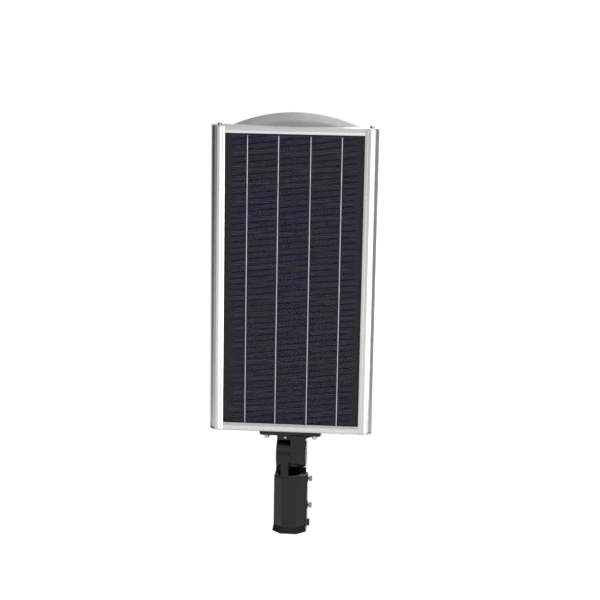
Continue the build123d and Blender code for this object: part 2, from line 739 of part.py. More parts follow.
# ================================================================ motion sensor
DOME_R = 13.9
DOME_BASE_Y = 39.0
DOME_TOP_Y = 46.5
dome_rise = DOME_TOP_Y - DOME_BASE_Y
DOME_INSIDE_Y = 40.0
DOME_NECK_R = 11.2
DOME_SEAT_Y = 36.0
dome_sphere_r = (DOME_R ** 2 + dome_rise ** 2) / (2 * dome_rise)
with BuildPart() as sensor_dome:
    with BuildSketch(Plane((0, 0, SENSOR_Z))):
        with BuildLine():
            Polyline(
                (0, DOME_TOP_Y),
                (0, DOME_INSIDE_Y),
                (DOME_NECK_R, DOME_INSIDE_Y),
                (DOME_NECK_R, DOME_SEAT_Y),
                (DOME_R, DOME_SEAT_Y),
                (DOME_R, DOME_BASE_Y),
            )
            RadiusArc((DOME_R, DOME_BASE_Y), (0, DOME_TOP_Y), -dome_sphere_r)
        make_face()
    revolve(axis=Axis((0, 0, SENSOR_Z), (0, 1, 0)))
save(sensor_dome, "sensor_dome")

with BuildPart() as sensor_ring:
    with BuildSketch(facing_front(HOUSING_BACK_Y + 2.2)):
        with Locations((0, SENSOR_Z)):
            Circle(19)
            Circle(14.3, mode=Mode.SUBTRACT)
    extrude(amount=2.2)
    chamfer(sensor_ring.faces().sort_by(Axis.Y)[-1].edges().sort_by(SortBy.RADIUS)[-1], 1.2)
save(sensor_ring, "sensor_ring")

with BuildPart() as sensor_board:
    with BuildSketch(facing_front(32)):
        with Locations((0, SENSOR_Z)):
            Circle(15)
    extrude(amount=1.6)
    with BuildSketch(facing_front(37.5)):
        with Locations((0, SENSOR_Z)):
            Circle(4.6)
    extrude(amount=6)
save(sensor_board, "sensor_board")

# ================================================================ power switch
bezel_top = HOUSING_BACK_Y + 2
switch_floor = 24.5
cup_inner_r = BUTTON_R + RUNNING
with BuildPart() as switch_body:
    with BuildSketch(facing_front(bezel_top)):
        with Locations((SWITCH_X, SWITCH_Z)):
            Circle(11.5)
    extrude(amount=2)
    chamfer(switch_body.faces().sort_by(Axis.Y)[-1].edges(), 1)
    with BuildSketch(facing_front(HOUSING_BACK_Y)):
        with Locations((SWITCH_X, SWITCH_Z)):
            Circle(SWITCH_R)
    extrude(amount=HOUSING_BACK_Y - switch_floor + 2)
    with BuildSketch(facing_front(bezel_top)):
        with Locations((SWITCH_X, SWITCH_Z)):
            Circle(cup_inner_r)
    extrude(amount=bezel_top - switch_floor, mode=Mode.SUBTRACT)
save(switch_body, "switch_body")

button_back = 31.0
with BuildPart() as power_button:
    with BuildSketch(facing_front(bezel_top + BUTTON_TRAVEL + 0.3)):
        with Locations((SWITCH_X, SWITCH_Z)):
            Circle(BUTTON_R)
    extrude(amount=bezel_top + BUTTON_TRAVEL + 0.3 - button_back)
    fillet(power_button.faces().sort_by(Axis.Y)[-1].edges(), 0.8)
save(power_button, "power_button")

with BuildPart() as button_spring:
    with BuildLine() as coil:
        Helix(
            1.2, button_back - switch_floor - 1.2, 4,
            center=(SWITCH_X, switch_floor + 0.6, SWITCH_Z), direction=(0, 1, 0),
        )
    with BuildSketch(Plane(origin=coil.line @ 0, z_dir=coil.line % 0)):
        Circle(0.3)
    sweep(path=coil.line)
save(button_spring, "button_spring")

with BuildPart() as switch_nut:
    with BuildSketch(facing_front(HOUSING_BACK_Y - HOUSING_WALL - 0.05)):
        with Locations((SWITCH_X, SWITCH_Z)):
            RegularPolygon(13, 6)
            Circle(SWITCH_R + 0.05, mode=Mode.SUBTRACT)
    extrude(amount=3)
save(switch_nut, "switch_nut")

with BuildPart() as status_light:
    with BuildSketch(facing_front(HOUSING_BACK_Y + 1.6)):
        with Locations((STATUS_X, SWITCH_Z)):
            Circle(2.5)
    extrude(amount=7)
    fillet(status_light.faces().sort_by(Axis.Y)[-1].edges(), 1.4)
save(status_light, "status_light")

# ================================================================ flange and its bolts
flange_bottom = HEAD_BOTTOM - FLANGE_T
GUSSET_R = 15.0
SADDLE_FRONT = 16.0
SADDLE_BOTTOM = 199.0
EARTH = (-10.6, 203.8)
EARTH_SHANK_R = 2.0
EARTH_DEPTH = 8.0
with BuildPart() as mounting_flange:
    with BuildSketch(Plane.XY.offset(flange_bottom)):
        RectangleRounded(2 * FLANGE_HALF_WIDTH, 2 * TONGUE_R, 4)
    extrude(amount=FLANGE_T)
    end_edges = mounting_flange.faces().sort_by(Axis.Z)[0].edges().filter_by(Axis.Y)
    fillet(end_edges, 5.5)
    with BuildSketch(Plane.YZ.offset(TONGUE_X[0])):
        with Locations((0, PIVOT_Z)):
            Circle(TONGUE_R)
        with Locations((0, (PIVOT_Z + flange_bottom + 1) / 2)):
            Rectangle(2 * TONGUE_R, flange_bottom + 1 - PIVOT_Z)
    extrude(amount=TONGUE_X[1] - TONGUE_X[0])
    # Saddle above the sleeve's ear
    with BuildSketch(Plane.YZ.offset(EAR_X[0] + 1)):
        with Locations((0, (flange_bottom + SADDLE_BOTTOM) / 2)):
            Rectangle(2 * SADDLE_FRONT, flange_bottom - SADDLE_BOTTOM + 2)
    extrude(amount=TONGUE_X[0] - EAR_X[0])
    # Concave web from the tongue's outer face up to the plate
    with BuildSketch(Plane.XZ):
        with BuildLine():
            Polyline(
                (TONGUE_X[1], flange_bottom - GUSSET_R),
                (TONGUE_X[1] - 1, flange_bottom - GUSSET_R),
                (TONGUE_X[1] - 1, flange_bottom + 1),
                (TONGUE_X[1] + GUSSET_R, flange_bottom + 1),
                (TONGUE_X[1] + GUSSET_R, flange_bottom),
            )
            CenterArc((TONGUE_X[1] + GUSSET_R, flange_bottom - GUSSET_R), GUSSET_R, 90, 90)
        make_face()
    extrude(amount=TONGUE_R - 0.5, both=True)
    with BuildSketch(Plane.YZ):
        with Locations((0, PIVOT_Z)):
            Circle(PIVOT_BOLT_R + RUNNING)
    extrude(amount=TONGUE_X[1] + 1, mode=Mode.SUBTRACT)
    with BuildSketch(Plane.XY.offset(flange_bottom)):
        with Locations(flange_holes):
            Circle(M6_R + 0.2)
    extrude(amount=FLANGE_T, mode=Mode.SUBTRACT)
    with BuildSketch(facing_front(-SADDLE_FRONT)):
        with Locations(EARTH):
            Circle(EARTH_SHANK_R)
    extrude(amount=-EARTH_DEPTH, mode=Mode.SUBTRACT)
save(mounting_flange, "mounting_flange")

BACKING_T = 4.0
backing_bottom = HOUSING_BOTTOM + HOUSING_WALL + 0.05
with BuildPart() as backing_plate:
    with BuildSketch(Plane.XY.offset(backing_bottom)):
        RectangleRounded(132, 42, 3)
        with Locations(flange_holes):
            Circle(M6_R + 0.2, mode=Mode.SUBTRACT)
    extrude(amount=BACKING_T)
save(backing_plate, "backing_plate")

WASHER_T = 1.2
NUT_T = 5.2
COLLAR_T = 2.6
BOLT_TIP = flange_bottom - WASHER_T - NUT_T - COLLAR_T + 0.6
bolt_seat = backing_bottom + BACKING_T
with BuildPart() as flange_bolts:
    with BuildSketch(Plane.XY.offset(bolt_seat)):
        with Locations(flange_holes):
            RegularPolygon(hexagon_r(M6_FLATS), 6)
    extrude(amount=4)
    with BuildSketch(Plane.XY.offset(bolt_seat)):
        with Locations(flange_holes):
            Circle(M6_R)
    extrude(amount=BOLT_TIP - bolt_seat)
    chamfer(flange_bolts.faces().group_by(Axis.Z)[0].edges(), 0.8)
save(flange_bolts, "flange_bolts")

with BuildPart() as flange_washers:
    with BuildSketch(Plane.XY.offset(flange_bottom)):
        with Locations(flange_holes):
            Circle(6)
            Circle(M6_R + 0.2, mode=Mode.SUBTRACT)
    extrude(amount=-WASHER_T)
save(flange_washers, "flange_washers")

with BuildPart() as flange_nuts:
    with BuildSketch(Plane.XY.offset(flange_bottom - WASHER_T)):
        with Locations(flange_holes):
            RegularPolygon(hexagon_r(M6_FLATS), 6)
    extrude(amount=-NUT_T)
    chamfer(flange_nuts.faces().group_by(Axis.Z)[0].edges(), 0.4)
    with BuildSketch(Plane.XY.offset(flange_bottom - WASHER_T - NUT_T)):
        with Locations(flange_holes):
            Circle(M6_FLATS / 2 - 0.5)
    extrude(amount=-COLLAR_T)
    fillet(flange_nuts.faces().group_by(Axis.Z)[0].edges(), 1.0)
    with BuildSketch(Plane.XY.offset(flange_bottom)):
        with Locations(flange_holes):
            Circle(M6_R + 0.02)
    extrude(amount=-20, mode=Mode.SUBTRACT)
save(flange_nuts, "flange_nuts")

# Earthing screw in the saddle's front face
EARTH_HEAD_R = 3.4
EARTH_HEAD_T = 2.8
with BuildPart() as earth_screw:
    with BuildSketch(facing_front(-SADDLE_FRONT)):
        with Locations(EARTH):
            Circle(EARTH_HEAD_R)
    extrude(amount=EARTH_HEAD_T)
    fillet(earth_screw.faces().sort_by(Axis.Y)[0].edges(), 1.6)
    with BuildSketch(facing_front(-SADDLE_FRONT - EARTH_HEAD_T)):
        with Locations(EARTH):
            Rectangle(4.4, 0.9)
            Rectangle(0.9, 4.4)
    extrude(amount=-1.2, mode=Mode.SUBTRACT)
    with BuildSketch(facing_front(-SADDLE_FRONT)):
        with Locations(EARTH):
            Circle(EARTH_SHANK_R)
    extrude(amount=-EARTH_DEPTH)
save(earth_screw, "earth_screw")

# ================================================================ pole sleeve
NUT_SEAT = 9.0
PIVOT_NUT_FLATS = 18.7
RIB_W = 26.0
RIB_RISE = 3.2
RIB_ROOT = 3.0
SCREW_BOSS_R = 8.5
ear_mid_z = (PIVOT_Z + BORE_L + 0.5) / 2
with BuildPart() as pole_sleeve:
    with BuildSketch():
        Rectangle(SLEEVE_W, SLEEVE_W)
        chamfer(vertices(), SLEEVE_CHAMFER)
    extrude(amount=SLEEVE_TOP)
    fillet(pole_sleeve.faces().sort_by(Axis.Z)[-1].edges(), 2.2)
    # Flared mouth
    with BuildSketch():
        Rectangle(SLEEVE_W + 5, SLEEVE_W + 5)
        chamfer(vertices(), SLEEVE_CHAMFER + 1)
    extrude(amount=14, taper=10)
    # Raised rear rim
    with BuildSketch(Plane.XY.offset(SLEEVE_TOP - 4)):
        with BuildLine():
            Polyline(
                (SLEEVE_W / 2 - RIM_INSET, REAR_RIM_Y),
                (SLEEVE_W / 2 - RIM_INSET, SLEEVE_W / 2 - SLEEVE_CHAMFER),
                (SLEEVE_W / 2 - SLEEVE_CHAMFER, SLEEVE_W / 2 - RIM_INSET),
                (SLEEVE_CHAMFER - SLEEVE_W / 2, SLEEVE_W / 2 - RIM_INSET),
                (RIM_INSET - SLEEVE_W / 2, SLEEVE_W / 2 - SLEEVE_CHAMFER),
                (RIM_INSET - SLEEVE_W / 2, REAR_RIM_Y),
                close=True,
            )
        make_face()
        Circle(STOP_R, mode=Mode.SUBTRACT)
    extrude(amount=4 + REAR_RIM_RISE)
    # Rib and bosses that carry the clamp screws
    with BuildSketch(Plane.YZ.offset(SLEEVE_W / 2 - RIB_ROOT)):
        with Locations((0, (RIB_BOTTOM + SLEEVE_TOP) / 2)):
            RectangleRounded(RIB_W, SLEEVE_TOP - RIB_BOTTOM, 3)
    extrude(amount=RIB_ROOT + RIB_RISE)
    with BuildSketch(Plane.YZ.offset(SLEEVE_W / 2 - RIB_ROOT)):
        with Locations([(0, z) for z in SET_SCREW_Z]):
            Circle(SCREW_BOSS_R)
    extrude(amount=BOSS_X - SLEEVE_W / 2 + RIB_ROOT)
    # Cable-tie lug beside the mouth
    with Locations((SLEEVE_W / 2 + 2.5, 16, 10)):
        Box(10, 5, 14)
    # Bore up to its stop, and the open top
    with BuildSketch():
        Circle(BORE_R)
    extrude(amount=BORE_L, mode=Mode.SUBTRACT)
    with BuildSketch():
        Circle(STOP_R)
    extrude(amount=SLEEVE_TOP + 1, mode=Mode.SUBTRACT)
    # Web and round ear
    with BuildSketch(Plane.YZ.offset(WEB_X[0])):
        with Locations((0, ear_mid_z)):
            Rectangle(2 * EAR_R, PIVOT_Z - BORE_L - 0.5)
    extrude(amount=WEB_X[1] - WEB_X[0])
    with BuildSketch(Plane.YZ.offset(EAR_X[0])):
        with Locations((0, PIVOT_Z)):
            Circle(EAR_R)
    extrude(amount=EAR_X[1] - EAR_X[0])
    across = pole_sleeve.faces().filter_by(Axis.X)
    ear_face = across.sort_by(lambda face: abs(face.center().X - EAR_X[0]))[0]
    fillet(ear_face.edges(), EAR_ROUND)
    # Foot of the ear on the rear rim
    with BuildSketch(Plane.XY.offset(SLEEVE_TOP - 4)):
        with Locations(((EAR_X[0] + EAR_ROUND + WEB_X[0]) / 2, FOOT_Y)):
            Rectangle(WEB_X[0] - EAR_X[0] - EAR_ROUND, FOOT_LENGTH)
    extrude(amount=PIVOT_Z - SLEEVE_TOP)
    # Pivot hole, nut pocket and threaded holes
    with BuildSketch(Plane.YZ.offset(EAR_X[0] - 1)):
        with Locations((0, PIVOT_Z)):
            Circle(PIVOT_BOLT_R + RUNNING)
    extrude(amount=40, mode=Mode.SUBTRACT)
    with BuildSketch(Plane.YZ.offset(EAR_X[0])):
        with Locations((0, PIVOT_Z)):
            RegularPolygon(hexagon_r(PIVOT_NUT_FLATS) + 0.3, 6)
    extrude(amount=NUT_SEAT, mode=Mode.SUBTRACT)
    with BuildSketch(Plane.YZ.offset(20)):
        with Locations([(0, z) for z in SET_SCREW_Z]):
            Circle(M6_R + RUNNING)
    extrude(amount=25, mode=Mode.SUBTRACT)
save(pole_sleeve, "pole_sleeve")

# ================================================================ pivot hardware
PIVOT_HEAD_R = 27.0
PIVOT_HEAD_T = 3.0
GRIP_NOTCHES = 24
GRIP_R = 2.2
pivot_head_x = TONGUE_X[1] + FACE_GAP
with BuildPart() as pivot_bolt:
    with BuildSketch(Plane.YZ.offset(pivot_head_x)):
        with Locations((0, PIVOT_Z)):
            Circle(PIVOT_HEAD_R)
    extrude(amount=PIVOT_HEAD_T)
    fillet(pivot_bolt.faces().sort_by(Axis.X)[-1].edges(), 0.8)
    with BuildSketch(Plane.YZ.offset(pivot_head_x)):
        with Locations((0, PIVOT_Z)):
            with PolarLocations(PIVOT_HEAD_R + GRIP_R / 2, GRIP_NOTCHES):
                Circle(GRIP_R)
    extrude(amount=PIVOT_HEAD_T, mode=Mode.SUBTRACT)
    with BuildSketch(Plane.YZ.offset(pivot_head_x)):
        with Locations((0, PIVOT_Z)):
            Circle(PIVOT_BOLT_R)
    extrude(amount=EAR_X[0] + 0.6 - pivot_head_x)
    with BuildSketch(Plane.YZ.offset(pivot_head_x + PIVOT_HEAD_T)):
        with Locations((0, PIVOT_Z)):
            RegularPolygon(hexagon_r(8.0), 6)
    extrude(amount=-7, mode=Mode.SUBTRACT)
save(pivot_bolt, "pivot_bolt")

with BuildPart() as pivot_nut:
    with BuildSketch(Plane.YZ.offset(EAR_X[0] + 1)):
        with Locations((0, PIVOT_Z)):
            RegularPolygon(hexagon_r(PIVOT_NUT_FLATS), 6)
            Circle(PIVOT_BOLT_R + 0.03, mode=Mode.SUBTRACT)
    extrude(amount=NUT_SEAT - 1.1)
save(pivot_nut, "pivot_nut")

# ================================================================ clamp screws
SET_HEAD_X = 39.6
SET_HEAD_T = 6.0
SET_TIP_X = BORE_R + 0.3
for name, z in zip(("lower_clamp_screw", "upper_clamp_screw"), SET_SCREW_Z):
    with BuildPart() as clamp_screw:
        with BuildSketch(Plane.YZ.offset(SET_HEAD_X)):
            with Locations((0, z)):
                RegularPolygon(hexagon_r(M6_FLATS), 6)
        extrude(amount=SET_HEAD_T)
        chamfer(clamp_screw.faces().sort_by(Axis.X)[-1].edges(), 0.7)
        with BuildSketch(Plane.YZ.offset(SET_TIP_X)):
            with Locations((0, z)):
                Circle(M6_R)
        extrude(amount=SET_HEAD_X - SET_TIP_X)
        chamfer(clamp_screw.faces().sort_by(Axis.X)[0].edges(), 0.8)
    save(clamp_screw, name)
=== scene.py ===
"""Solar street lamp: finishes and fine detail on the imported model, in a plain white studio."""

import math

import bmesh
import bpy
from mathutils import Matrix, Vector


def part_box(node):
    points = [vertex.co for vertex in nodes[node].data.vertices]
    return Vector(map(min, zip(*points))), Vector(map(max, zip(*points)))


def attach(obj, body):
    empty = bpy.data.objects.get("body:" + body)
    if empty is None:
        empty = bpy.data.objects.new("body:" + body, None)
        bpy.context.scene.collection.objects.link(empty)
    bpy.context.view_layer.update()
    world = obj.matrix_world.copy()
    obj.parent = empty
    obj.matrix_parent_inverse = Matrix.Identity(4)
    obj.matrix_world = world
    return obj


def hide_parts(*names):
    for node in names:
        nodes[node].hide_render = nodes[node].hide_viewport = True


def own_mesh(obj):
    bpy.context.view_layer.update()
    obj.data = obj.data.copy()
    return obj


MM = 0.001

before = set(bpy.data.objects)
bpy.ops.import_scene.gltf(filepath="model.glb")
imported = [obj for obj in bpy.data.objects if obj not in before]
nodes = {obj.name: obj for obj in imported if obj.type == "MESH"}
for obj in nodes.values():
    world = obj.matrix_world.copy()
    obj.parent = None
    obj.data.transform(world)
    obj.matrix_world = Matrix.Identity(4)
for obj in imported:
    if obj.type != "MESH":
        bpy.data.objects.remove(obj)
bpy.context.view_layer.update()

# ---------------------------------------------------------------- sizes repeated from the CAD model
STRIPS = 18
STRIP_HEIGHT = 31.25 * MM
STRIP_PITCH = 33.2 * MM
CELL_WIDTH = 125 * MM
COLUMN_GAP = 2.2 * MM
BUSBAR_SPACING = 62.5 * MM
FINGER_PITCH = 1.9 * MM
FINGER_WIDTH = 0.055 * MM
STRIPS_PER_CELL = 4
# Pitch and slope of the painted sheen bands across the cells
SHEEN_BAND_PITCH = 12.3 * MM
SHEEN_BAND_SLOPE = 0.12
CELL_GREY = (0.0150, 0.0142, 0.0175)
CELL_VIOLET = (0.0135, 0.0110, 0.0350)
LED_PITCH = 22 * MM
LED_COLUMNS = 10
LED_ROWS = 4
M6_RADIUS = 3 * MM
M6_PITCH = 1 * MM
M6_HEX_RADIUS = 10 * MM / math.sqrt(3)
BOLT_HEAD = 4 * MM
SET_HEAD = 6 * MM
DOME_SKIRT_Y = 39 * MM
DOME_WALL = 0.9 * MM
DOME_FACETS = 40


def middle(node):
    low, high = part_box(node)
    return (Vector(low) + Vector(high)) / 2


def corners(node):
    low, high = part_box(node)
    return Vector(low), Vector(high)


# ---------------------------------------------------------------- building materials
class Finish:
    """A material being made: its Principled shader, and short calls that add nodes to it."""

    def __init__(self, name, colour, **values):
        self.material = bpy.data.materials.new(name)
        self.material.use_nodes = True
        self.tree = self.material.node_tree
        self.shader = self.tree.nodes["Principled BSDF"]
        self.output = self.tree.nodes["Material Output"]
        self.shader.inputs["Base Color"].default_value = (*colour, 1)
        for key, value in values.items():
            self.shader.inputs[key.replace("_", " ")].default_value = value
        self.point = self.node("ShaderNodeTexCoord").outputs["Object"]

    def node(self, kind, inputs=None, **settings):
        made = self.tree.nodes.new(kind)
        for key, value in settings.items():
            setattr(made, key, value)
        for key, value in (inputs or {}).items():
            self.feed(made.inputs[key], value)
        return made

    def feed(self, socket, value):
        if isinstance(value, bpy.types.NodeSocket):
            self.tree.links.new(value, socket)
        else:
            socket.default_value = value

    def calc(self, operation, *values, clamp=False):
        made = self.node("ShaderNodeMath", operation=operation, use_clamp=clamp)
        for socket, value in zip(made.inputs, values):
            self.feed(socket, value)
        return made.outputs[0]

    def span(self, value, low, high, to_low=0.0, to_high=1.0, smooth=True):
        """value's stretch from low to high, carried to to_low..to_high."""
        kind = "SMOOTHSTEP" if smooth else "LINEAR"
        made = self.node("ShaderNodeMapRange", interpolation_type=kind)
        for socket, given in zip(made.inputs, (value, low, high, to_low, to_high)):
            self.feed(socket, given)
        return made.outputs[0]

    def noise(self, per_metre, detail=3.0, roughness=0.5, stretch=(1, 1, 1)):
        mapping = self.node("ShaderNodeMapping", {"Vector": self.point, "Scale": stretch})
        inputs = {
            "Vector": mapping.outputs[0],
            "Scale": per_metre,
            "Detail": detail,
            "Roughness": roughness,
        }
        return self.node("ShaderNodeTexNoise", inputs).outputs[0]

    def blend(self, factor, first, second, blend_type="MIX"):
        """Colour that goes from first to second as factor rises."""
        made = self.node("ShaderNodeMix", data_type="RGBA", blend_type=blend_type)
        colour_inputs = [s for s in made.inputs if s.type == "RGBA"]
        self.feed(made.inputs["Factor"], factor)
        for socket, colour in zip(colour_inputs, (first, second)):
            self.feed(socket, colour if isinstance(colour, bpy.types.NodeSocket) else (*colour, 1))
        return [s for s in made.outputs if s.type == "RGBA"][0]

    def axes(self):
        """The point's X, Y and Z, in metres."""
        return self.node("ShaderNodeSeparateXYZ", {"Vector": self.point}).outputs

    def colour(self, socket):
        self.feed(self.shader.inputs["Base Color"], socket)

    def roughness(self, socket):
        self.feed(self.shader.inputs["Roughness"], socket)

    def relief(self, height, depth, edge=0.0):
        """Bump of that depth in metres, over edges rounded by that radius."""
        inputs = {"Height": height, "Distance": depth, "Strength": 1.0}
        if edge:
            inputs["Normal"] = self.node("ShaderNodeBevel", {"Radius": edge}, samples=4).outputs[0]
        bump = self.node("ShaderNodeBump", inputs)
        self.feed(self.shader.inputs["Normal"], bump.outputs[0])


# ---------------------------------------------------------------- metal finishes
def anodised(name, along):
    """Satin anodised extrusion: die lines run along the bar, over a fine etched grain."""
    finish = Finish(name, (0.79, 0.79, 0.785), Metallic=1.0)
    lines = finish.noise(1100, detail=4, stretch=[0.006 if axis == along else 1 for axis in "XYZ"])
    grain = finish.noise(5200, detail=2)
    cloud = finish.noise(14, detail=3)
    tone = finish.blend(finish.span(lines, 0.3, 0.7), (0.74, 0.74, 0.735), (0.82, 0.82, 0.815))
    finish.colour(finish.blend(finish.span(cloud, 0.35, 0.7), tone, (0.80, 0.80, 0.79)))
    rough = finish.calc("MULTIPLY_ADD", grain, 0.10, 0.18)
    finish.roughness(finish.calc("MULTIPLY_ADD", lines, 0.08, rough))
    height = finish.calc("MULTIPLY_ADD", grain, 0.35, lines)
    finish.relief(height, 0.012 * MM, edge=0.25 * MM)
    return finish.material


def plain_metal(name, dark, light, roughness):
    """Turned or stamped metal: fine grain and a faint mottle."""
    finish = Finish(name, light, Metallic=1.0)
    mottle = finish.noise(260, detail=4)
    fine = finish.noise(3500, detail=2)
    finish.colour(finish.blend(finish.span(mottle, 0.3, 0.7), dark, light))
    finish.roughness(finish.calc("MULTIPLY_ADD", fine, 0.16, roughness))
    finish.relief(finish.calc("ADD", fine, mottle), 0.01 * MM, edge=0.3 * MM)
    return finish.material


def powder_coat():
    """Black satin powder coat with its fine orange peel, worn a shade lighter on its high spots."""
    finish = Finish("black_powder_coat", (0.016, 0.016, 0.017), Specular_IOR_Level=0.42)
    peel = finish.noise(620, detail=2, roughness=0.4)
    dust = finish.noise(4200, detail=2)
    patch = finish.noise(22, detail=4)
    tone = finish.blend(finish.span(patch, 0.3, 0.75), (0.0022, 0.0022, 0.0026), (0.0045, 0.0045, 0.0050))
    finish.colour(finish.blend(finish.span(dust, 0.66, 0.8), tone, (0.014, 0.014, 0.015)))
    finish.roughness(finish.calc("MULTIPLY_ADD", patch, 0.10, 0.22))
    finish.relief(finish.calc("MULTIPLY_ADD", dust, 0.25, peel), 0.05 * MM, edge=0.9 * MM)
    return finish.material


def cast_paint():
    """Silver-grey lacquer over a die casting: metallic flake over a fine cast skin."""
    finish = Finish("cast_housing", (0.36, 0.36, 0.35), Metallic=0.65)
    flake = finish.node("ShaderNodeTexVoronoi", {"Vector": finish.point, "Scale": 2600})
    skin = finish.noise(900, detail=3)
    patch = finish.noise(11, detail=3)
    tone = finish.blend(finish.span(patch, 0.3, 0.7), (0.37, 0.37, 0.362), (0.43, 0.43, 0.42))
    glint = finish.span(flake.outputs["Distance"], 0.05, 0.4, 0.75, 0.0)
    finish.colour(finish.blend(glint, tone, (0.56, 0.56, 0.55)))
    finish.roughness(finish.calc("MULTIPLY_ADD", skin, 0.2, 0.34))
    finish.relief(skin, 0.03 * MM, edge=0.6 * MM)
    return finish.material


# ---------------------------------------------------------------- solar panel
def clear_sheet(name, tint, ior, roughness, ripple=0.0):
    """Flat glass: what is behind shows through, with a thin reflection on the outer face."""
    finish = Finish(name, tint)
    inputs = {"IOR": ior}
    gloss_inputs = {"Color": (1, 1, 1, 1), "Roughness": roughness}
    if ripple:
        bump_inputs = {"Height": finish.noise(420, detail=2), "Distance": ripple}
        bump = finish.node("ShaderNodeBump", bump_inputs).outputs[0]
        inputs["Normal"] = bump
        gloss_inputs["Normal"] = bump
    fresnel = finish.node("ShaderNodeFresnel", inputs).outputs[0]
    inside = finish.node("ShaderNodeNewGeometry").outputs["Backfacing"]
    share = finish.calc("MULTIPLY", fresnel, finish.calc("SUBTRACT", 1.0, inside))
    gloss = finish.node("ShaderNodeBsdfGlossy", gloss_inputs)
    through = finish.node("ShaderNodeBsdfTransparent", {"Color": (*tint, 1)})
    mixed = finish.node("ShaderNodeMixShader", {0: share, 1: through.outputs[0], 2: gloss.outputs[0]})
    finish.feed(finish.output.inputs["Surface"], mixed.outputs[0])
    finish.tree.nodes.remove(finish.shader)
    return finish.material


def cell_silicon():
    """Quarter-cut monocrystalline cells: silver fingers, edge lines, a drift from navy to violet, and painted
    slanted bands of sheen and shade.
    """
    finish = Finish("cell_silicon", CELL_GREY, Specular_IOR_Level=0.1)
    x, _, z = finish.axes()
    base_z = middle("solar_cells").z - STRIPS / 2 * STRIP_PITCH
    row = finish.calc("DIVIDE", finish.calc("SUBTRACT", z, base_z), STRIP_PITCH)
    number = finish.calc("FLOOR", row)
    across = finish.calc("FRACT", row)
    from_middle = finish.calc("ABSOLUTE", finish.calc("SUBTRACT", across, 0.5))

    # Each strip of each column differs a little, and the violet deepens at the spine and the cells' ends
    column = finish.calc("SIGN", x)
    place = finish.node("ShaderNodeCombineXYZ", {"X": column, "Y": number}).outputs[0]
    own = finish.node("ShaderNodeTexWhiteNoise", {"Vector": place}, noise_dimensions="3D").outputs["Value"]
    drift = finish.noise(9, detail=2)
    to_spine = finish.span(finish.calc("ABSOLUTE", x), 0.0, 26 * MM, 0.55, 0.0)
    from_end = finish.calc("PINGPONG", finish.calc("SUBTRACT", row, 2.0), STRIPS_PER_CELL / 2)
    to_end = finish.span(from_end, 0.0, 0.9, 0.55, 0.0)
    violet = finish.calc("MULTIPLY_ADD", own, 0.25, finish.span(drift, 0.42, 0.68, 0.0, 0.6))
    violet = finish.calc("ADD", finish.calc("ADD", violet, to_spine), to_end, clamp=True)
    silicon = finish.blend(violet, CELL_GREY, CELL_VIOLET)

    # Painted sheen: slanted dark bands of painted shade multiplied into the cells' colour, standing in for
    # banding in the reflection
    slant = finish.calc("MULTIPLY_ADD", x, -SHEEN_BAND_SLOPE, z)
    waver = finish.calc("MULTIPLY", finish.noise(11, detail=1), 3.0)
    wave = finish.calc("SINE", finish.calc("MULTIPLY_ADD", slant, 2 * math.pi / SHEEN_BAND_PITCH, waver))
    lit = finish.span(wave, 0.3, 0.95, 1.0, 0.32)
    shade = finish.node("ShaderNodeCombineColor", {"Red": lit, "Green": lit, "Blue": lit}).outputs[0]

    # Fingers, and the line that closes them at each strip's edge
    finger = finish.calc("FRACT", finish.calc("DIVIDE", z, FINGER_PITCH))
    drawn = finish.calc("LESS_THAN", finger, FINGER_WIDTH / FINGER_PITCH)
    inner = (STRIP_HEIGHT / 2 - 1.1 * MM) / STRIP_PITCH
    edge_line = finish.calc("COMPARE", from_middle, inner, 0.3 * MM / STRIP_PITCH)
    drawn = finish.calc("MULTIPLY", drawn, finish.calc("LESS_THAN", from_middle, inner))
    silver = finish.calc("MAXIMUM", drawn, finish.calc("MULTIPLY", edge_line, 0.16))
    printed = finish.blend(silver, silicon, (0.42, 0.42, 0.46))
    # The printed cells' colour, darkened by the painted sheen bands
    finish.colour(finish.blend(1.0, printed, shade, blend_type="MULTIPLY"))
    finish.roughness(finish.calc("MULTIPLY_ADD", drift, 0.15, 0.3))
    finish.relief(finish.noise(7000, detail=1), 0.004 * MM)
    return finish.material


def ribbon_tin():
    """Tinned copper ribbon: bright, with the solder's waves along it."""
    finish = Finish("ribbon_tin", (0.86, 0.86, 0.88), Metallic=0.3)
    waves = finish.noise(240, detail=3, stretch=(0.3, 1, 1))
    finish.colour(finish.blend(finish.span(waves, 0.3, 0.7), (0.66, 0.66, 0.70), (0.96, 0.96, 0.98)))
    finish.roughness(finish.calc("MULTIPLY_ADD", waves, 0.3, 0.25))
    finish.relief(waves, 0.06 * MM)
    return finish.material


def black_sheet():
    """Black backsheet, faintly embossed."""
    finish = Finish("black_laminate", (0.014, 0.014, 0.016), Specular_IOR_Level=0.3)
    weave = finish.noise(1500, detail=2)
    patch = finish.noise(40, detail=3)
    mottle = finish.span(patch, 0.3, 0.7)
    finish.colour(finish.blend(mottle, (0.0075, 0.0075, 0.0085), (0.0105, 0.0105, 0.012)))
    finish.roughness(finish.calc("MULTIPLY_ADD", weave, 0.2, 0.4))
    finish.relief(weave, 0.02 * MM)
    return finish.material


# ---------------------------------------------------------------- plastics, rubber and boards
def moulded(name, dark, light, roughness=0.45, grain=1400, depth=0.02 * MM, edge=0.4 * MM, **values):
    """Moulded plastic or rubber: fine spark-eroded grain and a faint drift in tone."""
    finish = Finish(name, light, **values)
    texture = finish.noise(grain, detail=3)
    patch = finish.noise(60, detail=3)
    finish.colour(finish.blend(finish.span(patch, 0.3, 0.7), dark, light))
    finish.roughness(finish.calc("MULTIPLY_ADD", texture, 0.2, roughness - 0.1))
    finish.relief(texture, depth, edge=edge)
    return finish.material


